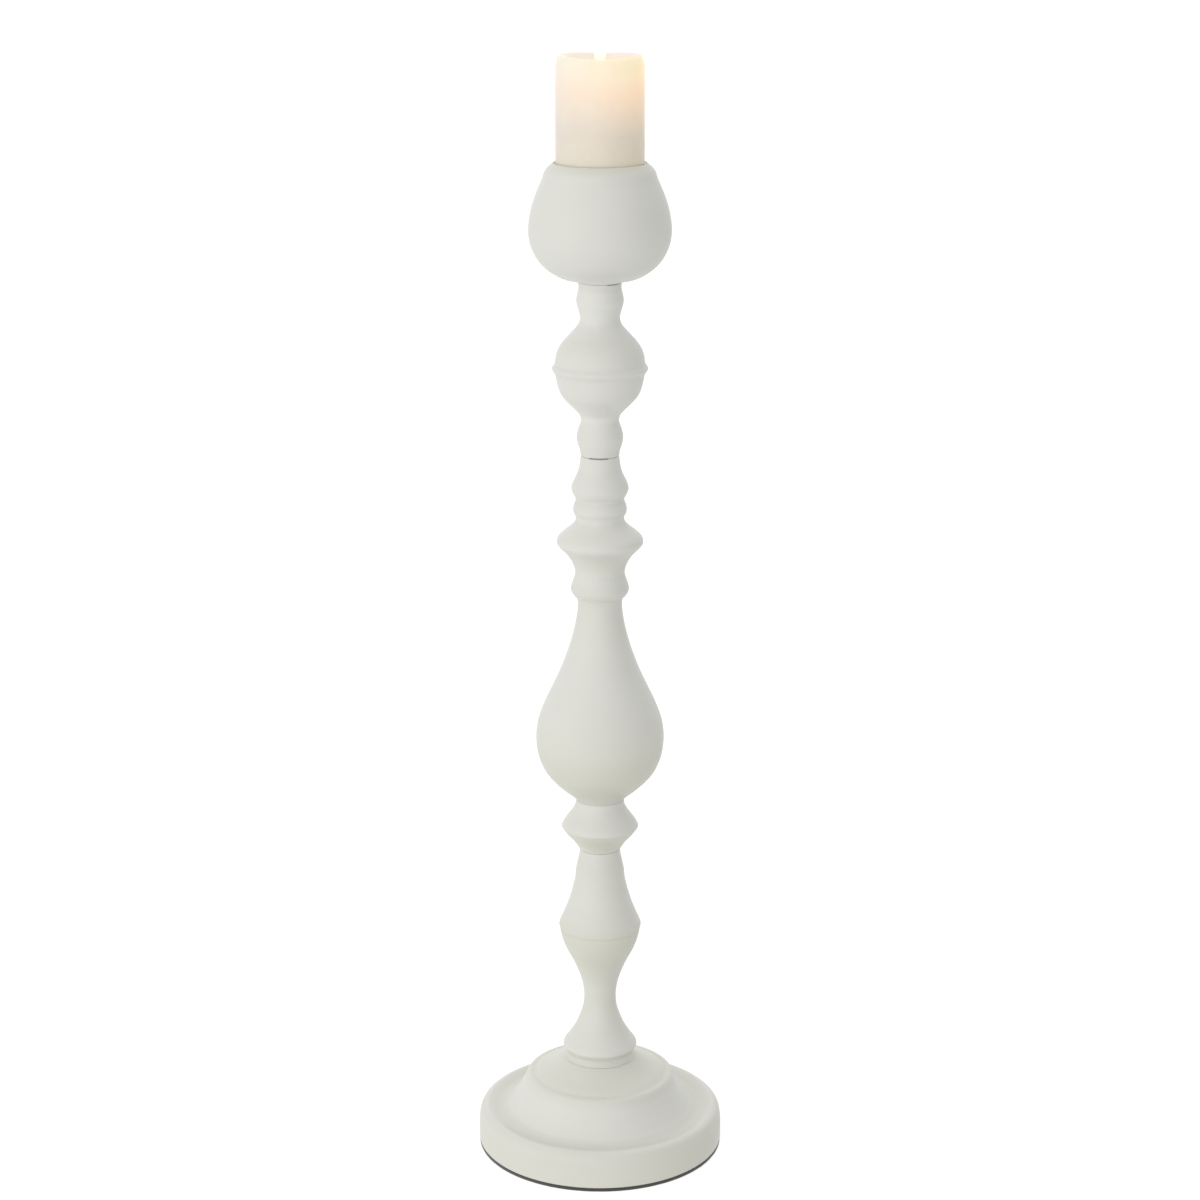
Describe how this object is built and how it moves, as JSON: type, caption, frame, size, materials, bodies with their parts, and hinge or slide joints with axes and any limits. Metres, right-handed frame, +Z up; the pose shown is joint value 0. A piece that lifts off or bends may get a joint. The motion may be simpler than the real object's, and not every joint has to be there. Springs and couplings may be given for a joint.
{
  "type": "wooden candlestick",
  "caption": "Tall turned and painted wooden candlestick: stacked column sections on a broad moulded base, with a tulip cup that holds a lit pillar candle in a lift-out metal liner.",
  "frame": {"origin": "centre of the underside of the felt pad, on the surface that the candlestick stands on", "axes": "+Z up along the axis of the turning; the front faces -Y, +X to the viewer's right"},
  "size_m": [0.178, 0.178, 0.7926],
  "materials": {
    "painted_wood": "satin off-white paint on turned wood",
    "felt": "dark grey pressed felt",
    "liner_metal": "pressed and tinned steel",
    "wax": "ivory candle wax, translucent",
    "wick_cotton": "braided cotton, charred",
    "zinc_steel": "zinc plated steel"
  },
  "bodies": {
    "root": {"felt_pad": "felt", "base": "painted_wood", "lower_column": "painted_wood", "knop": "painted_wood", "vase": "painted_wood", "collar_section": "painted_wood", "ball_section": "painted_wood", "cup": "painted_wood", "tie_rod": "zinc_steel", "base_washer": "zinc_steel", "base_spring_washer": "zinc_steel", "base_nut": "zinc_steel", "cup_washer": "zinc_steel", "cup_nut": "zinc_steel"},
    "liner": {"cup_liner": "liner_metal"},
    "candle": {"candle": "wax", "wick": "wick_cotton"}
  },
  "joints": [
    {"name": "liner_lift", "type": "slide", "parent": "root", "child": "liner", "axis": [0, 0, 1], "range_m": [0, 0.04]},
    {"name": "candle_lift", "type": "slide", "parent": "liner", "child": "candle", "axis": [0, 0, 1], "range_m": [0, 0.04]}
  ]
}
